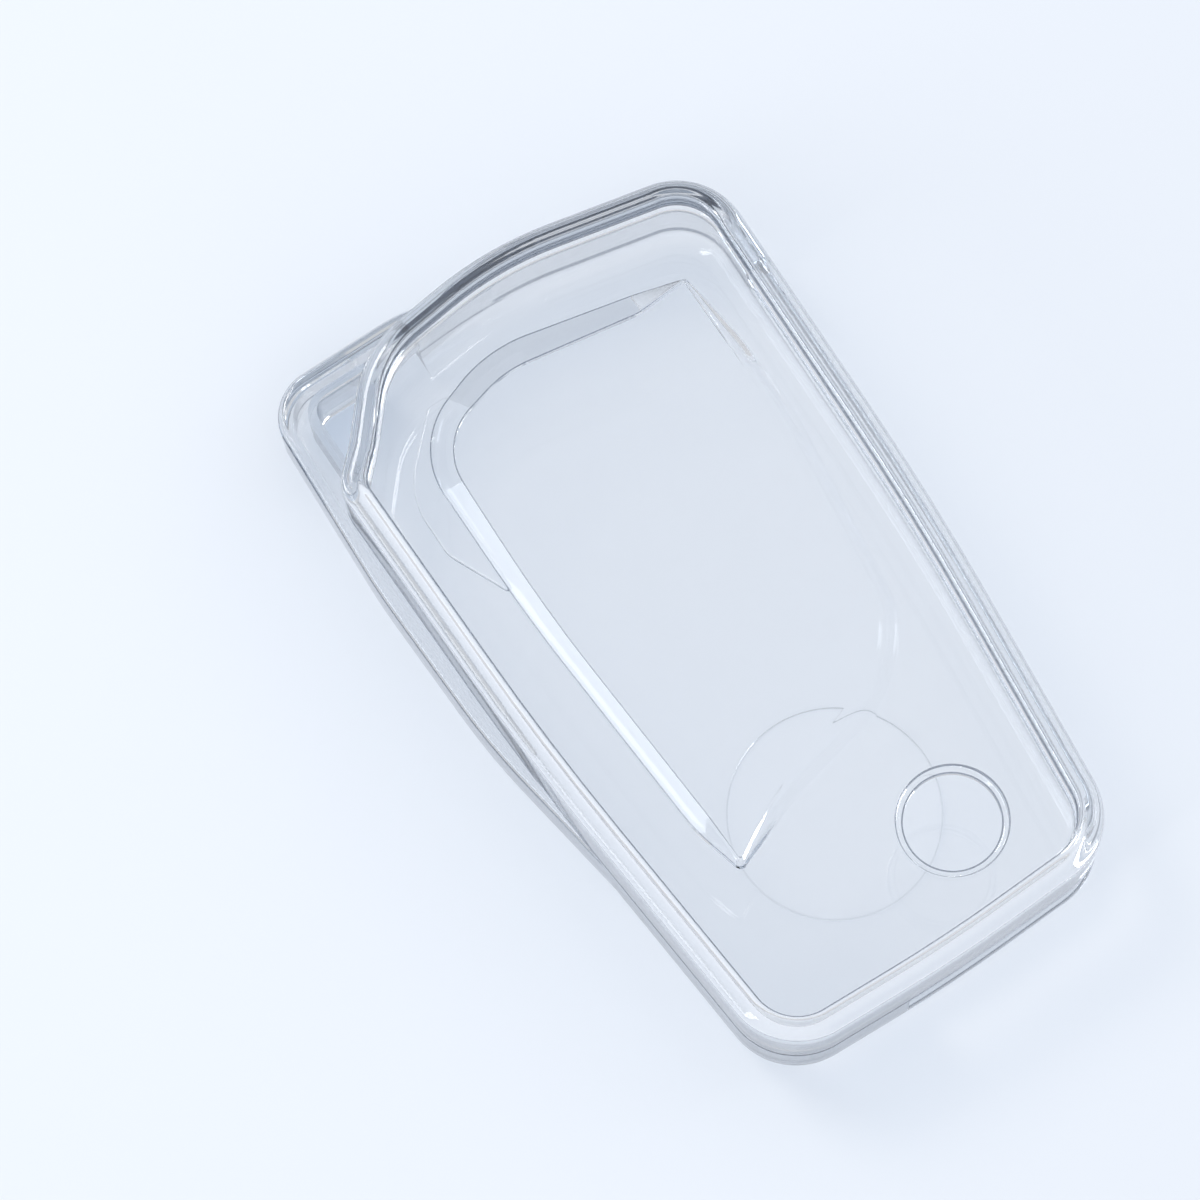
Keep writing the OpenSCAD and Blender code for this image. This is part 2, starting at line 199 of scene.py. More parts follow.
class CoverSizes(bpy.types.PropertyGroup):
    """Sizes of the cover."""

    body_l: length("Body length", 84.8, "Length of the body, without the ring loop")
    ring_w: length("Ring end width", 48.8, "Width of the body across the ring end")
    near_w: length("Near end width", 40.4, "Width of the body across the near end")
    face_z: length("Face height", 16.0, "Height of the flat front face")
    wall: length("Wall", 1.5, "Thickness of the moulded walls")
    near_r: length("Near corners", 7.5, "Radius of both corners of the near end")
    ring_r: length("Ring end corner", 7.5, "Radius of the plain corner of the ring end")
    loop_corner_r: length("Wide corner", 14.5, "Radius of the corner beside the loop")
    hollow_r: length("Hollow", 3.0, "Radius of the slight hollow below the wide corner")
    shoulder_r: length("Shoulder", 4.5, "Radius where the wide corner meets the left side")
    side_bow_r: length("Side bow", 300.0, "Radius of the bowed long sides")
    end_bow_r: length("End bow", 38.0, "Radius of the bowed ring end")
    ring_drop: length("Ring end drop", 4.4, "Fall of the ring end at its plain corner")
    near_bow: length("Near end bow", 0.8, "Distance that the near end bows out")
    near_bow_r: length("Near end bow radius", 160.0, "Radius of the bowed near end")
    rim_h: length("Rim height", 0.9, "Height of the raised rim above the front face")
    rim_r: length("Rim radius", 1.5, "Radius over the outer edge of the rim")
    rim_w: length("Rim width", 2.7, "Width of the raised rim")
    crest_w: length("Rim crest", 0.3, "Width of the flat crest of the rim")
    inner_r: length("Front inner radius", 1.6, "Radius inside the front shell")
    seam_z: length("Seam height", 9.0, "Height of the seam between the shells")
    rear_r: length("Rear edge", 3.4, "Radius of the rear edge")
    floor_r: length("Rear inner radius", 2.0, "Radius inside the rear shell")
    badge_r: length("Round panel", 10.8, "Radius of the plain panel in the rear face")
    badge_depth: length("Round panel depth", 0.25, "Depth of the round panel")
    badge_line: length("Round panel line", 0.16, "Width of the shaded line round it")
    badge_from_end: length("Round panel place", 20.9, "Its distance from the near end")
    lip_h: length("Lip height", 1.6, "Height of the lip inside the front shell")
    lip_t: length("Lip thickness", 0.7, "Thickness of the lip")
    seam_gap: length("Seam gap", 0.15, "Clearance between the shells")
    seam_soft: length("Seam edge", 0.3, "Softened edge on both sides of the seam")
    loop_below_seam: length("Loop drop", 0.8, "Distance of the loop's top below the seam")
    loop_out: length("Loop side", 1.7, "Distance that the loop stands out sideways")
    loop_lean: length("Loop lean", 0.9, "Distance that the loop leans in at its corner")
    loop_over: length("Loop end", 2.0, "Distance that the loop stands out endways")
    loop_r: length("Loop corner", 5.25, "Radius of the outer corner of the loop")
    loop_turn_r: length("Loop turn", 20.0, "Radius where its end turns towards the body")
    loop_rear_r: length("Loop rear edge", 2.4, "Radius of the loop's rear edge")
    loop_edge_r: length("Loop top edge", 0.8, "Radius of the loop's top edge")
    loop_side_w: length("Loop side width", 4.8, "Width between the hole and the side")
    loop_end_w: length("Loop end width", 3.3, "Width between the hole and the end")
    loop_top_t: length("Loop top", 1.4, "Thickness of the loop's top")
    hole_corner_r: length("Ring hole corner", 1.9, "Radius of the ring hole's corner")
    hole_wall: length("Ring hole wall", 1.0, "Thickness of the wall round the ring hole")
    sill_z: length("Sill height", 3.8, "Height of the sill of the side opening")
    slot_from_ring: length("Opening place", 14.8, "Its distance from the ring end")
    slot_past_middle: length("Opening end", 5.3, "How far it passes the middle")
    round_hole_r: length("Round hole", 4.8, "Radius of the round hole")
    mouth_r: length("Hole mouth", 0.8, "Radius of the cove round the hole's mouth")
    round_hole_x: length("Round hole side", 7.15, "Its distance from the middle")
    round_hole_from_end: length("Round hole place", 11.6, "Its distance from the near end")
    pad_rise: length("Pad rise", 1.4, "Height of the press pad above the face")
    pad_from_side: length("Pad side", 7.4, "Its distance from the sides of the ring end")
    pad_from_ring: length("Pad ring end", 9.2, "Its distance from the ring end")
    pad_from_near: length("Pad near end", 17.4, "Its distance from the near end")
    ridge_w: length("Pad ridge", 1.8, "Width of the slope along the pad's left side")
    turn_w: length("Pad turn", 2.3, "Width of the slope at the pad's left corner")
    bevel_w: length("Pad bevel", 3.2, "Width of the slope along the pad's ring end")
    slope_w: length("Pad slope", 2.6, "Width of the soft slope along the rest of the pad")
    point_w: length("Pad points", 0.5, "Width of the slope at both points of the pad")
    pad_t: length("Pad thickness", 1.2, "Thickness of the press pad")
    pad_gap: length("Pad gap", 0.02, "Clearance round the press pad")
    step_h: length("Crescent step", 0.5, "Height of the crescent beside the pad")


class CoverLooks(bpy.types.PropertyGroup):
    """Colours and finish of the cover and its stage."""

    shell_tint: colour("Shell tint", (0.996, 0.997, 0.998), "Colour of the clear shells")
    pad_tint: colour("Pad tint", (0.99, 0.993, 0.996), "Colour of the clear press pad")
    # Painted shade: the plastic's colour turns towards this at grazing angles.
    grazing_shade_tint: colour("Painted grazing shade", (0.06, 0.07, 0.1), "Shade painted on the shells where they are seen edge-on")
    # Painted shade: faces marked along crisp edges and on shaded slopes take this colour.
    painted_line_tint: colour("Painted edge lines", (0.16, 0.18, 0.22), "Colour of the shade painted on marked edges and slopes")
    depth_tint: colour("Depth tint", (0.3, 0.35, 0.41), "Colour that thick plastic takes")
    through_tint: colour("Light through", (0.998, 0.999, 1.0), "Tint of light through it")
    edge_shade: colour("Edge shade", (0.4, 0.44, 0.5), "Tint of light at slanting edges")
    wall_shade: colour("Wall shade", (0.85, 0.875, 0.905), "Tint of light at upright walls")
    floor_tint: colour("Floor", (0.715, 0.752, 0.808), "Colour of the floor")
    waviness: factor("Waviness", 0.012, "Strength of the moulded waviness")
    handling: factor("Handling", 0.05, "Roughness that handling adds in patches")


# Shapes: a corner is (x, y, radius), and an outline is a list of corners, counter-clockwise


def at(items, i):
    """An item of a list that goes round."""
    return items[i % len(items)]


def spot(corner):
    """The place of a corner, without its radius."""
    return Vector((corner[0], corner[1]))


def left_of(v):
    """The direction a quarter turn to the left."""
    return Vector((-v.y, v.x))


def edge_way(corners, i):
    """The direction of the edge that leaves a corner."""
    return (spot(at(corners, i + 1)) - spot(at(corners, i))).normalized()


def turn_at(corners, i):
    """The angle by which the outline turns left at a corner."""
    u, v = edge_way(corners, i - 1), edge_way(corners, i)
    return math.atan2(u.x * v.y - u.y * v.x, u.dot(v))


def fitted(corners):
    """Corners whose radii leave each other room along the edges between them."""
    out = []
    for i, corner in enumerate(corners):
        before = (spot(corner) - spot(at(corners, i - 1))).length
        after = (spot(at(corners, i + 1)) - spot(corner)).length
        bend = math.tan(abs(turn_at(corners, i)) / 2)
        most = EDGE_SHARE * min(before, after) / max(bend, LEAST_BEND)
        out.append((corner[0], corner[1], min(corner[2], most)))
    return out


def arc_steps(corners, i):
    """The number of steps that a corner's arc takes."""
    return max(LEAST_ARC_STEPS, math.ceil(abs(turn_at(corners, i)) / TURN_STEP))


def spread(corners, values):
    """One value for each point of the outline, from one value for each corner."""
    return [v for i, v in enumerate(values) for k in range(arc_steps(corners, i) + 1)]


def rounded(corners, like=None):
    """The outline's points, with as many at each corner as a like outline has."""
    like = like or corners
    points = []
    for i, corner in enumerate(corners):
        u, turn = edge_way(corners, i - 1), turn_at(corners, i)
        r = corner[2]
        start = spot(corner) - u * (r * math.tan(abs(turn) / 2))
        arm = left_of(u) * (r if turn < 0 else -r)
        steps = arc_steps(like, i)
        for k in range(steps + 1):
            a = turn * k / steps
            ca, sa = math.cos(a), math.sin(a)
            points.append(
                start - arm + Vector((arm.x * ca - arm.y * sa, arm.x * sa + arm.y * ca))
            )
    return points


def drawn_in(corners, distances):
    """The outline moved inwards, by one distance or by one for each corner."""
    if not isinstance(distances, (list, tuple)):
        distances = [distances] * len(corners)
    out = []
    for i, (corner, distance) in enumerate(zip(corners, distances)):
        n, m = left_of(edge_way(corners, i - 1)), left_of(edge_way(corners, i))
        moved = spot(corner) + (n + m) * (distance / (1 + n.dot(m)))
        side = 1 if turn_at(corners, i) > 0 else -1
        out.append((moved.x, moved.y, max(LEAST_RADIUS, corner[2] - side * distance)))
    return out


class Outlines:
    """Every outline of the cover, worked out from its sizes."""

    def __init__(self, s):
        self.half_l = s.body_l / 2
        self.ring_half, self.near_half = s.ring_w / 2, s.near_w / 2
        self.lay_out_body(s)
        self.lay_out_loop(s)
        self.lay_out_pad(s)
        self.round_hole = (s.round_hole_x, -self.half_l + s.round_hole_from_end)
        self.badge = (0.0, -self.half_l + s.badge_from_end)

    def lay_out_body(self, s):
        """The outline that both shells share."""
        ring, near, half_l, drop = self.ring_half, self.near_half, self.half_l, s.ring_drop
        waist_x, waist_y = near + (ring - near) * WAIST[0], WAIST[1] * half_l
        self.wide = Vector((WIDE_CORNER[0] * ring, half_l + WIDE_CORNER[1] * drop))
        self.hollow = Vector((HOLLOW[0] * ring, half_l + HOLLOW[1] * drop))
        self.body = fitted(
            [
                (-near, -half_l + s.near_bow, s.near_r),
                (0, -half_l, s.near_bow_r),
                (near, -half_l + s.near_bow, s.near_r),
                (waist_x, waist_y, s.side_bow_r),
                (ring, half_l - drop, s.ring_r),
                (APEX[0] * ring, half_l + APEX[1] * drop, s.end_bow_r),
                (self.wide.x, self.wide.y, s.loop_corner_r),
                (self.hollow.x, self.hollow.y, s.hollow_r),
                (-ring, half_l - SHOULDER_DROP * drop, s.shoulder_r),
                (-waist_x, waist_y, s.side_bow_r),
            ]
        )

    def lay_out_loop(self, s):
        """The ring loop, its hollow and its hole."""
        ring, near, half_l = self.ring_half, self.near_half, self.half_l
        self.loop_z = s.seam_z - s.loop_below_seam
        loop_left, loop_top = -ring - s.loop_out, half_l + s.loop_over
        root, fade, bow = LOOP_ROOT * ring, LOOP_FADE[1] * half_l, LOOP_BOW * s.side_bow_r
        loop_side = [
            (loop_left + s.loop_lean, loop_top, s.loop_r),
            (loop_left, LOOP_LOW * half_l, bow),
            (-ring - s.loop_out * LOOP_MIDDLE[0], LOOP_MIDDLE[1] * half_l, bow),
            (-near - (ring - near) * LOOP_FADE[0], fade, LEAST_RADIUS),
        ]
        loop_end = [
            (root, fade, LEAST_RADIUS),
            (root, half_l - s.wall, LEAST_RADIUS),
            (-LOOP_TURN * ring, loop_top, s.loop_turn_r),
        ]
        self.loop = fitted(loop_end + loop_side)
        channel_end = [(-root, fade, LEAST_RADIUS), (-root, loop_top, LEAST_RADIUS)]
        self.channel = fitted(channel_end + loop_side)
        left, top = loop_left + s.loop_side_w, loop_top - s.loop_end_w
        way = (self.wide - self.hollow).normalized()
        down = self.hollow.y + (left - self.hollow.x) * way.y / way.x
        across = self.hollow.x + (top - self.hollow.y) * way.x / way.y
        self.ring_hole = fitted(
            [
                (left, top, s.hole_corner_r),
                (left, down, LEAST_RADIUS),
                (across, top, LEAST_RADIUS),
            ]
        )

    def lay_out_pad(self, s):
        """The foot of the press pad with the slope at each corner, and the crescent beside it."""
        pad_w = s.ring_w - 2 * s.pad_from_side
        pad_l = s.body_l - s.pad_from_ring - s.pad_from_near
        low = self.half_l - s.pad_from_ring - pad_l
        # Each corner: x, y and radius, as shares of the pad's width and length, and its slope
        corners = [
            (-0.368, 0.024, POINT_R, s.point_w),
            (-0.12, 0.075, 0.9, s.slope_w),
            (0.24, 0.123, 0.35, s.slope_w),
            (0.44, 0.23, 0.35, s.slope_w),
            (0.532, 0.68, 3.0, s.slope_w),
            (0.471, 0.93, POINT_R, s.point_w),
            (0.309, 0.956, 0.2, BEVEL_START * s.bevel_w),
            (-0.132, 1.013, 0.44, s.bevel_w),
            (-0.471, 0.941, 0.32, s.turn_w),
            (-0.47, 0.577, 5.0, s.ridge_w),
            (-0.415, 0.122, 0.6, s.ridge_w),
        ]
        self.pad_slopes = [w for x, y, r, w in corners]
        self.pad_soft = [w == s.slope_w for w in self.pad_slopes]
        self.pad_dark = [w in (BEVEL_START * s.bevel_w, s.bevel_w) for w in self.pad_slopes]

        def placed(shares):
            return fitted([(x * pad_w, low + y * pad_l, r * pad_w) for x, y, r in shares])

        self.pad_foot = placed([(x, y, r) for x, y, r, w in corners])
        self.crescent = placed(CRESCENT)


def quarter(start, end, steps=QUARTER_STEPS):
    """Angles of a round edge, from start to end in degrees."""
    return [math.radians(start + (end - start) * k / steps) for k in range(steps + 1)]


# Meshes


def skin(name, rings, marks=None):
    """A closed mesh through rings of equal count, each (points, height), with marked bands."""
    marks = marks or {}
    bm = bmesh.new()
    layers = [[bm.verts.new((p.x, p.y, z)) for p in points] for points, z in rings]
    count = len(layers[0])
    for k, (low, high) in enumerate(zip(layers, layers[1:])):
        for i in range(count):
            j = (i + 1) % count
            side = bm.faces.new((low[i], low[j], high[j], high[i]))
            band = marks.get(k, PLAIN)
            side.material_index = band[i] if isinstance(band, list) else band
    bm.faces.new(list(reversed(layers[0])))
    bm.faces.new(layers[-1])
    bmesh.ops.remove_doubles(bm, verts=bm.verts, dist=SAME_POINT)
    bmesh.ops.dissolve_degenerate(bm, edges=bm.edges, dist=SAME_POINT)
    bmesh.ops.recalc_face_normals(bm, faces=bm.faces)
    mesh = bpy.data.meshes.new(name)
    for mark in (PLAIN, LINE, JOIN, SHADE):
        mesh.materials.append(None)  # an empty slot for each mark keeps it through the cuts
    bm.to_mesh(mesh)
    bm.free()
    obj = bpy.data.objects.new(name, mesh)
    bpy.context.scene.collection.objects.link(obj)
    return obj


def loft(name, corners, profile, marks=None):
    """A closed mesh whose edge follows a profile of (inset, height)."""
    rings = [(rounded(drawn_in(corners, d), corners), z) for d, z in profile]
    return skin(name, rings, marks)


def prism(name, corners, low, high, mark=PLAIN):
    """A closed upright mesh over an outline."""
    return loft(name, corners, [(0.0, low), (0.0, high)], {0: mark})


def turned(name, centre, profile, marks=None, steps=CIRCLE_STEPS):
    """A closed mesh turned about an upright axis, through (radius, height)."""
    rings = []
    for r, z in profile:
        ring = []
        for k in range(steps):
            a = 2 * math.pi * k / steps
            ring.append(Vector((centre[0] + r * math.cos(a), centre[1] + r * math.sin(a))))
        rings.append((ring, z))
    return skin(name, rings, marks)


def settle(obj):
    """Applies the object's modifiers."""
    graph = bpy.context.evaluated_depsgraph_get()
    mesh = bpy.data.meshes.new_from_object(obj.evaluated_get(graph))
    old = obj.data
    obj.modifiers.clear()
    obj.data = mesh
    bpy.data.meshes.remove(old)


def combine(obj, other, operation):
    """Joins the other mesh to the object, or cuts it out of it, and uses it up."""
    step = obj.modifiers.new(operation.title(), "BOOLEAN")
    step.operation = operation
    step.solver = "MANIFOLD"
    step.object = other
    settle(obj)
    bpy.data.objects.remove(other)


def finish_surface(obj, name, material):
    """Shades the mesh smooth between its sharp edges and gives it its material and marks."""
    bm = bmesh.new()
    bm.from_mesh(obj.data)
    bmesh.ops.remove_doubles(bm, verts=bm.verts, dist=WELD)
    bmesh.ops.dissolve_degenerate(bm, edges=bm.edges, dist=SLIVER)
    open_edges = sum(1 for e in bm.edges if not e.is_manifold)
    bm.to_mesh(obj.data)
    bm.free()
    print(name, "faces", len(obj.data.polygons), "open edges", open_edges)
    obj.name = obj.data.name = name
    for face in obj.data.polygons:
        face.use_smooth = True
    obj.data.set_sharp_from_angle(angle=SHARP_ANGLE)
    even = obj.modifiers.new("Even shading", "WEIGHTED_NORMAL")
    even.keep_sharp = True
    even.weight = NORMAL_WEIGHT
    settle(obj)
    for layer, strength in LAYERS.items():
        values = [strength.get(face.material_index, 0.0) for face in obj.data.polygons]
        obj.data.attributes.new(layer, "FLOAT", "FACE").data.foreach_set("value", values)
    for face in obj.data.polygons:
        face.material_index = 0
    obj.data.materials.clear()
    obj.data.materials.append(material)


# Materials


def add(nodes, kind, values=None, **settings):
    """A shader node with its settings, and values on its inputs."""
    made = nodes.new(kind)
    for key, value in settings.items():
        setattr(made, key, value)
    for key, value in (values or {}).items():
        made.inputs[key].default_value = value
    return made


def add_ramp(nodes, stops):
    """A colour ramp through (position, colour), from first to last."""
    made = nodes.new("ShaderNodeValToRGB")
    elements = made.color_ramp.elements
    elements[0].position, elements[-1].position = stops[0][0], stops[-1][0]
    for position, tint in stops[1:-1]:
        elements.new(position)
    for element, (position, tint) in zip(elements, stops):
        element.color = (*tint, 1.0)
    return made


def moulded_surface_group():
    """Waviness of a moulded skin and patches left by handling, used by every clear part."""
    group = bpy.data.node_groups.get("Moulded surface")
    if group:
        return group
    group = bpy.data.node_groups.new("Moulded surface", "ShaderNodeTree")
    for name, direction, default in (
        ("Wave scale", "INPUT", 60.0),
        ("Patch scale", "INPUT", 35.0),
        ("Base roughness", "INPUT", 0.02),
        ("Patch roughness", "INPUT", 0.0),
        ("Roughness", "OUTPUT", 0.0),
        ("Height", "OUTPUT", 0.0),
    ):
        socket = group.interface.new_socket(name, in_out=direction, socket_type="NodeSocketFloat")
        socket.default_value = default
    nodes, links = group.nodes, group.links
    given = add(nodes, "NodeGroupInput").outputs
    made = add(nodes, "NodeGroupOutput").inputs
    place = add(nodes, "ShaderNodeTexCoord")
    wave = add(nodes, "ShaderNodeTexNoise", {"Detail": 2.0})
    patch = add(nodes, "ShaderNodeTexNoise", {"Detail": 5.0})
    spread_out = add(
        nodes, "ShaderNodeMapRange", {"From Min": PATCH_FROM, "From Max": PATCH_TO}
    )
    rough = add(nodes, "ShaderNodeMath", operation="MULTIPLY_ADD")
    for texture, scale in ((wave, "Wave scale"), (patch, "Patch scale")):
        links.new(place.outputs["Object"], texture.inputs["Vector"])
        links.new(given[scale], texture.inputs["Scale"])
    links.new(wave.outputs["Fac"], made["Height"])
    links.new(patch.outputs["Fac"], spread_out.inputs["Value"])
    links.new(spread_out.outputs["Result"], rough.inputs[0])
    links.new(given["Patch roughness"], rough.inputs[1])
    links.new(given["Base roughness"], rough.inputs[2])
    links.new(rough.outputs["Value"], made["Roughness"])
    return group


def clear_plastic(name, tint, looks, scales):
    """Clear glossy plastic, a little blue where it is thick, with shade painted into its colour at
    grazing edges and on marked edge bands.
    """
    material = bpy.data.materials.new(name)
    material.use_nodes = True
    nodes, links = material.node_tree.nodes, material.node_tree.links
    plastic = nodes["Principled BSDF"]
    plastic.inputs["IOR"].default_value = PLASTIC_IOR
    plastic.inputs["Transmission Weight"].default_value = 1.0
    surface = add(nodes, "ShaderNodeGroup", node_tree=moulded_surface_group())
    surface.inputs["Wave scale"].default_value, surface.inputs["Patch scale"].default_value = scales
    surface.inputs["Patch roughness"].default_value = looks.handling
    links.new(surface.outputs["Roughness"], plastic.inputs["Roughness"])
    # Painted shade: the colour darkens towards grazing angles, standing in for the dark lines that
    # refraction draws at the edges of clear plastic.
    edge = add(nodes, "ShaderNodeLayerWeight", {"Blend": EVEN_BLEND})
    stops = [
        (position, [a + (b - a) * share for a, b in zip(tint, looks.grazing_shade_tint)])
        for position, share in EDGE_STOPS
    ]
    lines = add_ramp(nodes, stops)
    links.new(edge.outputs["Facing"], lines.inputs["Fac"])
    # Painted shade: marked bands darken towards this colour, for the dark lines and bands that
    # refraction shows at crisp edges and steep slopes.
    on_line = add(nodes, "ShaderNodeAttribute", attribute_name="painted_line_mask")
    line_shading = add(nodes, "ShaderNodeMixRGB", {"Color2": (*looks.painted_line_tint, 1.0)})
    links.new(on_line.outputs["Fac"], line_shading.inputs["Fac"])
    links.new(lines.outputs["Color"], line_shading.inputs["Color1"])
    links.new(line_shading.outputs["Color"], plastic.inputs["Base Color"])
    in_join = add(nodes, "ShaderNodeAttribute", attribute_name="moulded_join")
    shown = add(nodes, "ShaderNodeMath", {0: 1.0}, operation="SUBTRACT")
    links.new(in_join.outputs["Fac"], shown.inputs[1])
    links.new(shown.outputs["Value"], plastic.inputs["Alpha"])
    bump = add(
        nodes, "ShaderNodeBump", {"Strength": looks.waviness, "Distance": BUMP_DISTANCE}
    )
    links.new(surface.outputs["Height"], bump.inputs["Height"])
    links.new(bump.outputs["Normal"], plastic.inputs["Normal"])
    depth = add(
        nodes,
        "ShaderNodeVolumeAbsorption",
        {"Color": (*looks.depth_tint, 1.0), "Density": ABSORPTION},
    )
    links.new(depth.outputs["Volume"], nodes["Material Output"].inputs["Volume"])
    let_light_through(nodes, links, plastic, looks)
    return material


def let_light_through(nodes, links, plastic, looks):
    """Light that falls on other things passes the plastic, less of it at edges and walls."""
    slant = add(nodes, "ShaderNodeLayerWeight", {"Blend": SLANT_BLEND})
    shade = add_ramp(
        nodes, [(SLANT_FROM, looks.through_tint), (SLANT_TO, looks.edge_shade)]
    )
    links.new(slant.outputs["Facing"], shade.inputs["Fac"])
    facing = add(nodes, "ShaderNodeNewGeometry")
    split = add(nodes, "ShaderNodeSeparateXYZ")
    links.new(facing.outputs["Normal"], split.inputs["Vector"])
    level = add(nodes, "ShaderNodeMath", operation="ABSOLUTE")
    links.new(split.outputs["Z"], level.inputs[0])
    upright = add_ramp(nodes, [(UPRIGHT_TO, looks.wall_shade), (LEVEL_FROM, WHITE)])
    links.new(level.outputs["Value"], upright.inputs["Fac"])
    both = add(nodes, "ShaderNodeMixRGB", {"Fac": 1.0}, blend_type="MULTIPLY")
    links.new(shade.outputs["Color"], both.inputs["Color1"])
    links.new(upright.outputs["Color"], both.inputs["Color2"])
    passed = add(nodes, "ShaderNodeBsdfTransparent")
    links.new(both.outputs["Color"], passed.inputs["Color"])
    path = add(nodes, "ShaderNodeLightPath")
    either = add(nodes, "ShaderNodeMath", operation="MAXIMUM")
    links.new(path.outputs["Is Shadow Ray"], either.inputs[0])
    links.new(path.outputs["Is Diffuse Ray"], either.inputs[1])
    trapped = add(nodes, "ShaderNodeMath", {1: MOST_BOUNCES}, operation="GREATER_THAN")
    links.new(path.outputs["Glossy Depth"], trapped.inputs[0])
    any_of = add(nodes, "ShaderNodeMath", operation="MAXIMUM")
    links.new(either.outputs["Value"], any_of.inputs[0])
    links.new(trapped.outputs["Value"], any_of.inputs[1])
    mix = add(nodes, "ShaderNodeMixShader")
    links.new(any_of.outputs["Value"], mix.inputs["Fac"])
    links.new(plastic.outputs["BSDF"], mix.inputs[1])
    links.new(passed.outputs["BSDF"], mix.inputs[2])
    links.new(mix.outputs["Shader"], nodes["Material Output"].inputs["Surface"])


def floor_paint(tint):
    """Matt pale paper with a faint mottle."""
    material = bpy.data.materials.new("Pale floor")
    material.use_nodes = True
    nodes, links = material.node_tree.nodes, material.node_tree.links
    paint = nodes["Principled BSDF"]
    paint.inputs["Roughness"].default_value = FLOOR_ROUGHNESS
    paint.inputs["Specular IOR Level"].default_value = FLOOR_GLOSS
    place = add(nodes, "ShaderNodeTexCoord")
    mottle = add(nodes, "ShaderNodeTexNoise", {"Scale": 9.0, "Detail": 3.0})
    links.new(place.outputs["Object"], mottle.inputs["Vector"])
    shaded = [c * MOTTLE_SHARE for c in tint]
    ramp = add_ramp(nodes, [(MOTTLE_FROM, shaded), (MOTTLE_TO, tint)])
    links.new(mottle.outputs["Fac"], ramp.inputs["Fac"])
    links.new(ramp.outputs["Color"], paint.inputs["Base Color"])
    return material


# Pieces


def finish_piece(obj, name, material, body, node):
    """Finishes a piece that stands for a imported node, and lets it ride on its body."""
    finish_surface(obj, name, material)
    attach(obj, body)
    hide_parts(node)


def rounded_in(radius, steps):
    """A round edge up from the bottom: pairs of (inset, height)."""
    return [
        (radius * (1 - math.sin(a)), radius * (1 - math.cos(a))) for a in quarter(0, 90, steps)
    ]


def rounded_over(radius, top, steps):
    """A round edge up to the top: pairs of (inset, height)."""
    return [
        (radius * (1 - math.cos(a)), top - radius + radius * math.sin(a))
        for a in quarter(0, 90, steps)
    ]


class COVER_OT_rear_shell(bpy.types.Operator):
    """Builds the rear shell with its ring loop and side opening"""

    bl_idname = "cover.rear_shell"
    bl_label = "Rear shell"

    def execute(self, context):
        s, looks = context.scene.cover_sizes, context.scene.cover_looks
        o = Outlines(s)
        shell = self.build_tray(s, o)
        self.add_loop(shell, s, o)
        self.cut_side_opening(shell, s, o)
        # The round panel's wall gets a painted dark line, and a thin flat ring inside it gets
        # painted shade.
        rings = [
            (s.badge_r, -OVER),
            (s.badge_r, s.badge_depth),
            (s.badge_r - s.badge_line, s.badge_depth),
        ]
        badge = turned("Badge", o.badge, rings, {0: LINE, 1: SHADE})
        combine(shell, badge, "DIFFERENCE")
        material = clear_plastic("Clear rear shell", looks.shell_tint, looks, REAR_SCALES)
        finish_piece(shell, "rear_shell_clear", material, "rear_half", "rear_shell")
        return {"FINISHED"}

    def build_tray(self, s, o):
        """The solid body of the tray, up to the top of its lip."""
        profile = rounded_in(s.rear_r, REAR_EDGE_STEPS)
        upright = len(profile) - 1
        profile += rounded_over(s.seam_soft, s.seam_z, SOFT_EDGE_STEPS)
        seam = len(profile) - 1
        lip_in = s.wall - s.lip_t
        profile += [(lip_in, s.seam_z), (lip_in, s.seam_z + s.lip_h)]
        # The bands where the rear edge turns upright, and those over the seam's soft edge, get a
        # painted dark line.
        lines = [*range(upright - EDGE_BANDS, upright), *range(seam - SOFT_EDGE_STEPS, seam)]
        return loft("Rear shell", o.body, profile, {k: LINE for k in lines})

    def add_loop(self, shell, s, o):
        """Joins the loop on, and hollows it and the tray."""
        profile = rounded_in(s.loop_rear_r, QUARTER_STEPS)
        upright = len(profile) - 1
        profile += rounded_over(s.loop_edge_r, o.loop_z, LOOP_EDGE_STEPS)
        # The bands where the loop's rear edge turns upright and where its top edge starts to round
        # get a painted dark line.
        lines = (upright - 1, upright + 1, upright + 2)
        combine(shell, loft("Loop", o.loop, profile, {k: LINE for k in lines}), "UNION")
        profile = [
            (s.wall + inset, s.wall + height)
            for inset, height in rounded_in(s.floor_r, QUARTER_STEPS)
        ]
        profile.append((s.wall, s.seam_z + s.lip_h + OVER))
        combine(shell, loft("Hollow", o.body, profile), "DIFFERENCE")
        channel = prism("Channel", drawn_in(o.channel, s.wall), s.wall, o.loop_z - s.loop_top_t)
        keep = prism("Keep", drawn_in(o.ring_hole, -s.hole_wall), 0.0, o.loop_z)
        combine(channel, keep, "DIFFERENCE")
        combine(shell, channel, "DIFFERENCE")
        hole = prism("Hole", o.ring_hole, -OVER, o.loop_z + OVER)
        keep = prism("Keep", drawn_in(o.body, -s.seam_gap), -2 * OVER, o.loop_z + 2 * OVER)
        combine(hole, keep, "DIFFERENCE")
        combine(shell, hole, "DIFFERENCE")

    def cut_side_opening(self, shell, s, o):
        """Cuts the opening along the right side and round the near corner."""
        right, near = o.ring_half + OVER, -o.half_l - OVER
        inner_x = o.near_half - s.near_r - s.wall
        inner_y = -o.half_l + s.near_r + s.wall
        ring_y = o.half_l - s.slot_from_ring
        corners = [
            (-s.slot_past_middle, near),
            (right, near),
            (right, ring_y),
            (inner_x, ring_y),
            (inner_x, inner_y),
            (-s.slot_past_middle, inner_y),
        ]
        side = prism(
            "Side opening",
            [(x, y, LEAST_RADIUS) for x, y in corners],
            s.sill_z,
            s.seam_z + s.lip_h + OVER,
        )
        combine(shell, side, "DIFFERENCE")


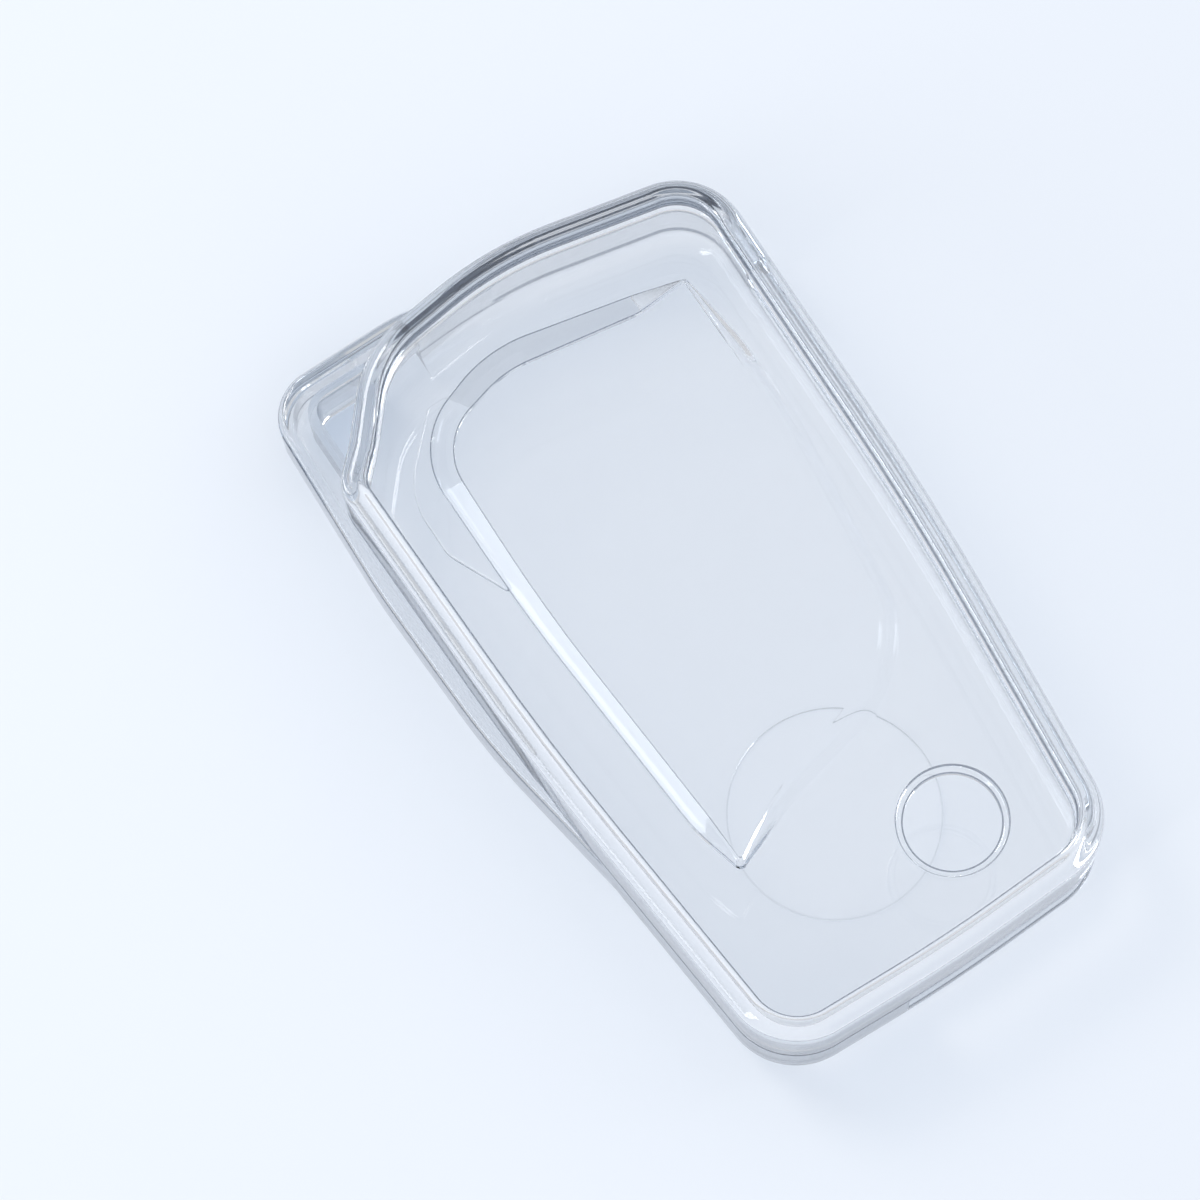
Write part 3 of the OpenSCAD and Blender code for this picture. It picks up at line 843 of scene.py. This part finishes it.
class COVER_OT_front_shell(bpy.types.Operator):
    """Builds the front shell with its rim, crescent step and round hole"""

    bl_idname = "cover.front_shell"
    bl_label = "Front shell"

    def execute(self, context):
        s, looks = context.scene.cover_sizes, context.scene.cover_looks
        o = Outlines(s)
        under = s.face_z - s.wall
        shell = self.build_face(s, o, under)
        soft = s.step_h / 2
        profile = [(0.0, s.face_z - s.wall / 2)]
        profile += rounded_over(soft, s.face_z + s.step_h, SOFT_EDGE_STEPS)
        # Its upright side and the first band of its rounded edge get a painted dark line.
        crescent = loft("Crescent", o.crescent, profile, {0: LINE, 1: LINE})
        combine(shell, crescent, "UNION")
        foot = drawn_in(o.pad_foot, -s.pad_gap)
        top = s.face_z + s.step_h + OVER
        combine(shell, prism("Pad opening", foot, under - OVER, top, JOIN), "DIFFERENCE")
        rings = [(s.round_hole_r, under - OVER)]
        rings += [
            (s.round_hole_r + s.mouth_r * math.sin(a), s.face_z - s.mouth_r * math.cos(a))
            for a in quarter(0, 90)
        ]
        last = len(rings) - 1
        rings.append((s.round_hole_r + s.mouth_r, s.face_z + OVER))
        # The first band of the cove above the bore and the bands where it meets the face get a
        # painted dark line.
        marks = {k: LINE for k in (1, *range(last - COVE_BANDS, last))}
        hole = turned("Round hole", o.round_hole, rings, marks)
        combine(shell, hole, "DIFFERENCE")
        material = clear_plastic("Clear front shell", looks.shell_tint, looks, FRONT_SCALES)
        finish_piece(
            shell, "front_shell_clear", material, "front_half", "front_shell"
        )
        return {"FINISHED"}

    def build_face(self, s, o, under):
        """The face with its side wall, the seam below it and the rim round it."""
        lip_out = s.wall - s.lip_t - s.seam_gap
        lip_top = s.seam_z + s.lip_h + 2 * s.seam_gap
        seam, top = s.seam_z + s.seam_gap, s.face_z + s.rim_h
        profile = [
            (s.wall + inset, height)
            for inset, height in reversed(rounded_over(s.inner_r, under, QUARTER_STEPS))
        ]
        profile += [(s.wall, lip_top), (lip_out, lip_top), (lip_out, seam)]
        edge = len(profile)
        profile += [
            (inset, seam + height)
            for inset, height in rounded_in(s.seam_soft, SOFT_EDGE_STEPS)
        ]
        profile += rounded_over(s.rim_r, top, RIM_STEPS)
        crest = s.rim_r + s.crest_w
        profile += [
            (crest + (s.rim_w - crest) * math.sin(a), top - s.rim_h * (1 - math.cos(a)))
            for a in quarter(0, 90, RIM_FOOT_STEPS)
        ]
        foot = len(profile) - 1
        # The bands over the seam's soft edge and at the rim's inner foot get a painted dark line.
        lines = [*range(edge, edge + SOFT_EDGE_STEPS), *range(foot - RIM_FOOT_BANDS, foot)]
        return loft("Front shell", o.body, profile, {k: LINE for k in lines})


class COVER_OT_press_pad(bpy.types.Operator):
    """Builds the raised press pad with its sloped edges"""

    bl_idname = "cover.press_pad"
    bl_label = "Press pad"

    def execute(self, context):
        s, looks = context.scene.cover_sizes, context.scene.cover_looks
        o = Outlines(s)
        under = s.face_z - s.wall
        high = s.face_z + s.pad_rise - s.pad_t
        rises = [
            (1 - math.cos(math.pi * k / PAD_SLOPE_STEPS)) / 2 for k in range(PAD_SLOPE_STEPS + 1)
        ]
        rings = [(self.slope(o, h), under + (high - under) * h) for h in reversed(rises)]
        rings += [(self.slope(o, h), s.face_z + s.pad_rise * h) for h in rises]
        pad = skin("Press pad", rings, self.marks(o, len(rises), len(rings) - 2))
        material = clear_plastic("Clear press pad", looks.pad_tint, looks, PAD_SCALES)
        finish_piece(pad, "press_pad_clear", material, "pad", "button_pad")
        return {"FINISHED"}

    def slope(self, o, rise):
        """The foot drawn in to where each slope has risen so far, a soft one in an S."""
        soft_share = 0.5 - math.sin(math.asin(1 - 2 * rise) / 3)
        insets = [
            width * (soft_share if soft else rise)
            for width, soft in zip(o.pad_slopes, o.pad_soft)
        ]
        return rounded(drawn_in(o.pad_foot, insets), o.pad_foot)

    def marks(self, o, first, last):
        """Painted dark lines along both edges of the hard slopes, and painted shade on the bevel
        between them.
        """
        hard = spread(o.pad_foot, [not soft for soft in o.pad_soft])
        hard = [here and after for here, after in zip(hard, hard[1:] + hard[:1])]
        dark = spread(o.pad_foot, o.pad_dark)
        marks = {first - 1: JOIN}
        for k in range(first, last + 1):
            at_edge = k < first + EDGE_BANDS or k > last - EDGE_BANDS
            marks[k] = [self.mark(at_edge, *here) for here in zip(hard, dark)]
        return marks

    def mark(self, at_edge, on_hard, on_dark):
        """The mark of one face of the slopes."""
        if not on_hard:
            return PLAIN
        if at_edge:
            return LINE
        return SHADE if on_dark else PLAIN


class COVER_OT_stage(bpy.types.Operator):
    """Builds the floor, the lights, the world and the camera"""

    bl_idname = "cover.stage"
    bl_label = "Stage"

    def execute(self, context):
        looks = context.scene.cover_looks
        profile = [(FLOOR_RADIUS, height) for height in FLOOR_DEPTH]
        floor = turned("Floor", (0.0, 0.0), profile, steps=FLOOR_STEPS)
        floor.name = "floor"
        floor.data.materials.clear()
        floor.data.materials.append(floor_paint(looks.floor_tint))
        self.build_camera(context)
        self.build_lights(context)
        self.build_world(context)
        context.scene.view_settings.view_transform = "Standard"
        return {"FINISHED"}

    def build_camera(self, context):
        """The camera stands where the photograph was taken from."""
        ahead = (CAMERA_AIM - CAMERA_PLACE).normalized()
        along = Vector((0.0, 1.0, 0.0))
        along = (along - ahead * along.dot(ahead)).normalized()
        across = ahead.cross(along)
        right = along * -CAMERA_ROLL[1] + across * CAMERA_ROLL[0]
        up = along * CAMERA_ROLL[0] + across * CAMERA_ROLL[1]
        data = bpy.data.cameras.new("Camera")
        data.lens = CAMERA_LENS
        data.sensor_width = CAMERA_SENSOR
        data.clip_start, data.clip_end = CAMERA_RANGE
        camera = bpy.data.objects.new("Camera", data)
        turn = Matrix((right, up, -ahead)).transposed().to_4x4()
        camera.matrix_world = Matrix.Translation(CAMERA_PLACE) @ turn
        context.scene.collection.objects.link(camera)
        context.scene.camera = camera

    def build_lights(self, context):
        """Soft boxes round the cover, all turned to its middle."""
        for name, spot_at, width, height, power, tint in LIGHTS:
            data = bpy.data.lights.new(name, "AREA")
            data.energy = power
            data.shape = "RECTANGLE"
            data.size = width
            data.size_y = height
            data.color = tint
            lamp = bpy.data.objects.new(name, data)
            lamp.location = spot_at
            lamp.rotation_euler = (-Vector(spot_at)).to_track_quat("-Z", "Y").to_euler()
            context.scene.collection.objects.link(lamp)

    def build_world(self, context):
        """An even pale studio, a little brighter towards its ceiling."""
        world = bpy.data.worlds.new("Studio")
        world.use_nodes = True
        context.scene.world = world
        nodes, links = world.node_tree.nodes, world.node_tree.links
        way = add(nodes, "ShaderNodeTexCoord")
        split = add(nodes, "ShaderNodeSeparateXYZ")
        links.new(way.outputs["Generated"], split.inputs["Vector"])
        ramp = add_ramp(nodes, STUDIO_STOPS)
        links.new(split.outputs["Z"], ramp.inputs["Fac"])
        links.new(ramp.outputs["Color"], nodes["Background"].inputs["Color"])
        nodes["Background"].inputs["Strength"].default_value = 1.0


class COVER_PT_panel(bpy.types.Panel):
    """Lists the steps that build the cover"""

    bl_idname = "COVER_PT_panel"
    bl_label = "Clear Fob Cover"
    bl_space_type = "VIEW_3D"
    bl_region_type = "UI"
    bl_category = "Fob Cover"

    def draw(self, context):
        column = self.layout.column(align=True)
        for step in STEPS:
            column.operator(step)
        for group in ("cover_looks", "cover_sizes"):
            box = self.layout.box()
            settings = getattr(context.scene, group)
            for name in settings.__annotations__:
                box.prop(settings, name)


STEPS = ("cover.rear_shell", "cover.front_shell", "cover.press_pad", "cover.stage")
CLASSES = (
    CoverSizes,
    CoverLooks,
    COVER_OT_rear_shell,
    COVER_OT_front_shell,
    COVER_OT_press_pad,
    COVER_OT_stage,
    COVER_PT_panel,
)


def register():
    for item in CLASSES:
        bpy.utils.register_class(item)
    bpy.types.Scene.cover_sizes = bpy.props.PointerProperty(type=CoverSizes)
    bpy.types.Scene.cover_looks = bpy.props.PointerProperty(type=CoverLooks)


def unregister():
    del bpy.types.Scene.cover_looks
    del bpy.types.Scene.cover_sizes
    for item in reversed(CLASSES):
        bpy.utils.unregister_class(item)


def main():
    register()
    bpy.ops.cover.rear_shell()
    bpy.ops.cover.front_shell()
    bpy.ops.cover.press_pad()
    bpy.ops.cover.stage()


if __name__ == "__main__":
    main()
